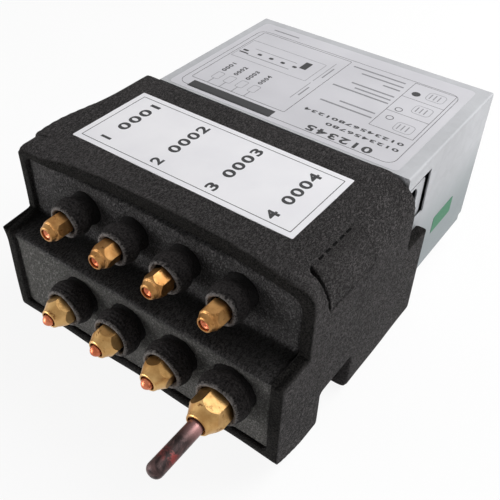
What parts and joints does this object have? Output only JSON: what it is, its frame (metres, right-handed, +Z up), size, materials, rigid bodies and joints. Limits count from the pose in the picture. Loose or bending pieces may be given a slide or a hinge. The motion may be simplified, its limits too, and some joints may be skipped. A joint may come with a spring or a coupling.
{
  "type": "refrigerant branch box",
  "caption": "Refrigerant branch box in a stepped black foam jacket, with staggered rows of brass flare ports in front and a sheet steel control box behind.",
  "frame": {"origin": "on the flat underside, below the middle of the jacket's width", "axes": "+Z up, -Y out of the front with the ports, +X to the right seen from the front"},
  "size_m": [0.314, 0.4374, 0.1688],
  "materials": {
    "foam_skin": "matte",
    "foam_core": "matte",
    "sleeve_foam": "matte",
    "brass": "satin",
    "copper": "satin",
    "dark_copper": "matte",
    "stainless": "satin",
    "magnet": "matte",
    "coil_plastic": "matte",
    "zinc_steel": "satin",
    "screw_steel": "satin",
    "circuit_board": "satin",
    "nylon": "matte",
    "black_plastic": "satin"
  },
  "bodies": {
    "housing": {"foam_jacket": "foam_skin", "front_panel": "foam_core", "base_block": "foam_core", "rear_bulkhead": "foam_core", "liquid_sleeves": "sleeve_foam", "gas_sleeves": "sleeve_foam", "main_sleeves": "sleeve_foam", "liquid_unions": "brass", "gas_unions": "brass", "main_unions": "brass", "valve_bodies": "brass", "liquid_header": "copper", "gas_header": "copper", "liquid_links": "copper", "liquid_drops": "copper", "gas_branches": "copper", "valve_cans": "stainless", "valve_coils": "coil_plastic", "pipe_brackets": "zinc_steel", "box_base": "zinc_steel", "cable_plate": "zinc_steel", "cover_screws": "screw_steel", "terminal_screws": "screw_steel", "control_board": "circuit_board", "board_standoffs": "nylon", "board_parts": "black_plastic", "terminal_block": "black_plastic"},
    "liquid_bonnet_1": {"liquid_bonnet_1": "copper"},
    "liquid_nut_1": {"liquid_nut_1": "brass"},
    "liquid_bonnet_2": {"liquid_bonnet_2": "copper"},
    "liquid_nut_2": {"liquid_nut_2": "brass"},
    "liquid_bonnet_3": {"liquid_bonnet_3": "copper"},
    "liquid_nut_3": {"liquid_nut_3": "brass"},
    "liquid_bonnet_4": {"liquid_bonnet_4": "copper"},
    "liquid_nut_4": {"liquid_nut_4": "brass"},
    "gas_bonnet_1": {"gas_bonnet_1": "copper"},
    "gas_nut_1": {"gas_nut_1": "brass"},
    "gas_bonnet_2": {"gas_bonnet_2": "copper"},
    "gas_nut_2": {"gas_nut_2": "brass"},
    "gas_bonnet_3": {"gas_bonnet_3": "copper"},
    "gas_nut_3": {"gas_nut_3": "brass"},
    "gas_stub_4": {"gas_stub_4": "dark_copper"},
    "gas_nut_4": {"gas_nut_4": "brass"},
    "main_liquid_bonnet": {"main_liquid_bonnet": "copper"},
    "main_liquid_nut": {"main_liquid_nut": "brass"},
    "main_gas_bonnet": {"main_gas_bonnet": "copper"},
    "main_gas_nut": {"main_gas_nut": "brass"},
    "valve_rotor_1": {"valve_rotor_1": "magnet"},
    "valve_needle_1": {"valve_needle_1": "stainless"},
    "valve_rotor_2": {"valve_rotor_2": "magnet"},
    "valve_needle_2": {"valve_needle_2": "stainless"},
    "valve_rotor_3": {"valve_rotor_3": "magnet"},
    "valve_needle_3": {"valve_needle_3": "stainless"},
    "valve_rotor_4": {"valve_rotor_4": "magnet"},
    "valve_needle_4": {"valve_needle_4": "stainless"},
    "right_flap": {"right_flap": "foam_skin"},
    "left_flap": {"left_flap": "foam_skin"},
    "box_cover": {"box_cover": "zinc_steel"}
  },
  "joints": [
    {"name": "liquid_1_draw", "type": "slide", "parent": "housing", "child": "liquid_bonnet_1", "axis": [0, -1, 0], "range_m": [0, 0.00762]},
    {"name": "liquid_1_turn", "type": "hinge", "parent": "liquid_bonnet_1", "child": "liquid_nut_1", "pos_m": [-0.075, -0.129, 0.134], "axis": [0, -1, 0], "range_deg": [0, 2161]},
    {"name": "liquid_2_draw", "type": "slide", "parent": "housing", "child": "liquid_bonnet_2", "axis": [0, -1, 0], "range_m": [0, 0.00762]},
    {"name": "liquid_2_turn", "type": "hinge", "parent": "liquid_bonnet_2", "child": "liquid_nut_2", "pos_m": [-0.025, -0.129, 0.134], "axis": [0, -1, 0], "range_deg": [0, 2161]},
    {"name": "liquid_3_draw", "type": "slide", "parent": "housing", "child": "liquid_bonnet_3", "axis": [0, -1, 0], "range_m": [0, 0.00762]},
    {"name": "liquid_3_turn", "type": "hinge", "parent": "liquid_bonnet_3", "child": "liquid_nut_3", "pos_m": [0.025, -0.129, 0.134], "axis": [0, -1, 0], "range_deg": [0, 2161]},
    {"name": "liquid_4_draw", "type": "slide", "parent": "housing", "child": "liquid_bonnet_4", "axis": [0, -1, 0], "range_m": [0, 0.00762]},
    {"name": "liquid_4_turn", "type": "hinge", "parent": "liquid_bonnet_4", "child": "liquid_nut_4", "pos_m": [0.075, -0.129, 0.134], "axis": [0, -1, 0], "range_deg": [0, 2161]},
    {"name": "gas_1_draw", "type": "slide", "parent": "housing", "child": "gas_bonnet_1", "axis": [0, -1, 0], "range_m": [0, 0.00847]},
    {"name": "gas_1_turn", "type": "hinge", "parent": "gas_bonnet_1", "child": "gas_nut_1", "pos_m": [-0.056, -0.152, 0.0765], "axis": [0, -1, 0], "range_deg": [0, 2161]},
    {"name": "gas_2_draw", "type": "slide", "parent": "housing", "child": "gas_bonnet_2", "axis": [0, -1, 0], "range_m": [0, 0.00847]},
    {"name": "gas_2_turn", "type": "hinge", "parent": "gas_bonnet_2", "child": "gas_nut_2", "pos_m": [-0.006, -0.152, 0.0765], "axis": [0, -1, 0], "range_deg": [0, 2161]},
    {"name": "gas_3_draw", "type": "slide", "parent": "housing", "child": "gas_bonnet_3", "axis": [0, -1, 0], "range_m": [0, 0.00847]},
    {"name": "gas_3_turn", "type": "hinge", "parent": "gas_bonnet_3", "child": "gas_nut_3", "pos_m": [0.044, -0.152, 0.0765], "axis": [0, -1, 0], "range_deg": [0, 2161]},
    {"name": "gas_4_draw", "type": "slide", "parent": "housing", "child": "gas_stub_4", "axis": [0, -1, 0], "range_m": [0, 0.00953]},
    {"name": "gas_4_turn", "type": "hinge", "parent": "gas_stub_4", "child": "gas_nut_4", "pos_m": [0.094, -0.156, 0.0765], "axis": [0, -1, 0], "range_deg": [0, 2161]},
    {"name": "main_liquid_draw", "type": "slide", "parent": "housing", "child": "main_liquid_bonnet", "axis": [-1, 0, 0], "range_m": [0, 0.00847]},
    {"name": "main_liquid_turn", "type": "hinge", "parent": "main_liquid_bonnet", "child": "main_liquid_nut", "pos_m": [-0.147, -0.056, 0.098], "axis": [-1, 0, 0], "range_deg": [0, 2161]},
    {"name": "main_gas_draw", "type": "slide", "parent": "housing", "child": "main_gas_bonnet", "axis": [-1, 0, 0], "range_m": [0, 0.01089]},
    {"name": "main_gas_turn", "type": "hinge", "parent": "main_gas_bonnet", "child": "main_gas_nut", "pos_m": [-0.147, -0.01, 0.0765], "axis": [-1, 0, 0], "range_deg": [0, 2161]},
    {"name": "rotor_1_turn", "type": "hinge", "parent": "housing", "child": "valve_rotor_1", "pos_m": [-0.075, -0.025, 0.134], "axis": [0, 1, 0], "range_deg": [0, 1801]},
    {"name": "needle_1_lift", "type": "slide", "parent": "housing", "child": "valve_needle_1", "axis": [0, 1, 0], "range_m": [0, 0.0025]},
    {"name": "rotor_2_turn", "type": "hinge", "parent": "housing", "child": "valve_rotor_2", "pos_m": [-0.025, -0.025, 0.134], "axis": [0, 1, 0], "range_deg": [0, 1801]},
    {"name": "needle_2_lift", "type": "slide", "parent": "housing", "child": "valve_needle_2", "axis": [0, 1, 0], "range_m": [0, 0.0025]},
    {"name": "rotor_3_turn", "type": "hinge", "parent": "housing", "child": "valve_rotor_3", "pos_m": [0.025, -0.025, 0.134], "axis": [0, 1, 0], "range_deg": [0, 1801]},
    {"name": "needle_3_lift", "type": "slide", "parent": "housing", "child": "valve_needle_3", "axis": [0, 1, 0], "range_m": [0, 0.0025]},
    {"name": "rotor_4_turn", "type": "hinge", "parent": "housing", "child": "valve_rotor_4", "pos_m": [0.075, -0.025, 0.134], "axis": [0, 1, 0], "range_deg": [0, 1801]},
    {"name": "needle_4_lift", "type": "slide", "parent": "housing", "child": "valve_needle_4", "axis": [0, 1, 0], "range_m": [0, 0.0025]},
    {"name": "right_flap_fold", "type": "hinge", "parent": "housing", "child": "right_flap", "pos_m": [0.11634, -0.057, 0.16358], "axis": [0, -1, 0], "range_deg": [0, 75]},
    {"name": "left_flap_fold", "type": "hinge", "parent": "housing", "child": "left_flap", "pos_m": [-0.124, -0.057, 0.1675], "axis": [0, 1, 0], "range_deg": [-20, 55]},
    {"name": "cover_lift", "type": "slide", "parent": "housing", "child": "box_cover", "axis": [0, 0, 1], "range_m": [0, 0.16]}
  ],
  "couplings": [
    {"joint": "liquid_1_turn", "follows": "liquid_1_draw", "rad_per_m": 4947.4},
    {"joint": "liquid_2_turn", "follows": "liquid_2_draw", "rad_per_m": 4947.4},
    {"joint": "liquid_3_turn", "follows": "liquid_3_draw", "rad_per_m": 4947.4},
    {"joint": "liquid_4_turn", "follows": "liquid_4_draw", "rad_per_m": 4947.4},
    {"joint": "gas_1_turn", "follows": "gas_1_draw", "rad_per_m": 4452.7},
    {"joint": "gas_2_turn", "follows": "gas_2_draw", "rad_per_m": 4452.7},
    {"joint": "gas_3_turn", "follows": "gas_3_draw", "rad_per_m": 4452.7},
    {"joint": "gas_4_turn", "follows": "gas_4_draw", "rad_per_m": 3957.9},
    {"joint": "main_liquid_turn", "follows": "main_liquid_draw", "rad_per_m": 4452.7},
    {"joint": "main_gas_turn", "follows": "main_gas_draw", "rad_per_m": 3463.2},
    {"joint": "rotor_1_turn", "follows": "needle_1_lift", "rad_per_m": 12566},
    {"joint": "rotor_2_turn", "follows": "needle_2_lift", "rad_per_m": 12566},
    {"joint": "rotor_3_turn", "follows": "needle_3_lift", "rad_per_m": 12566},
    {"joint": "rotor_4_turn", "follows": "needle_4_lift", "rad_per_m": 12566}
  ]
}
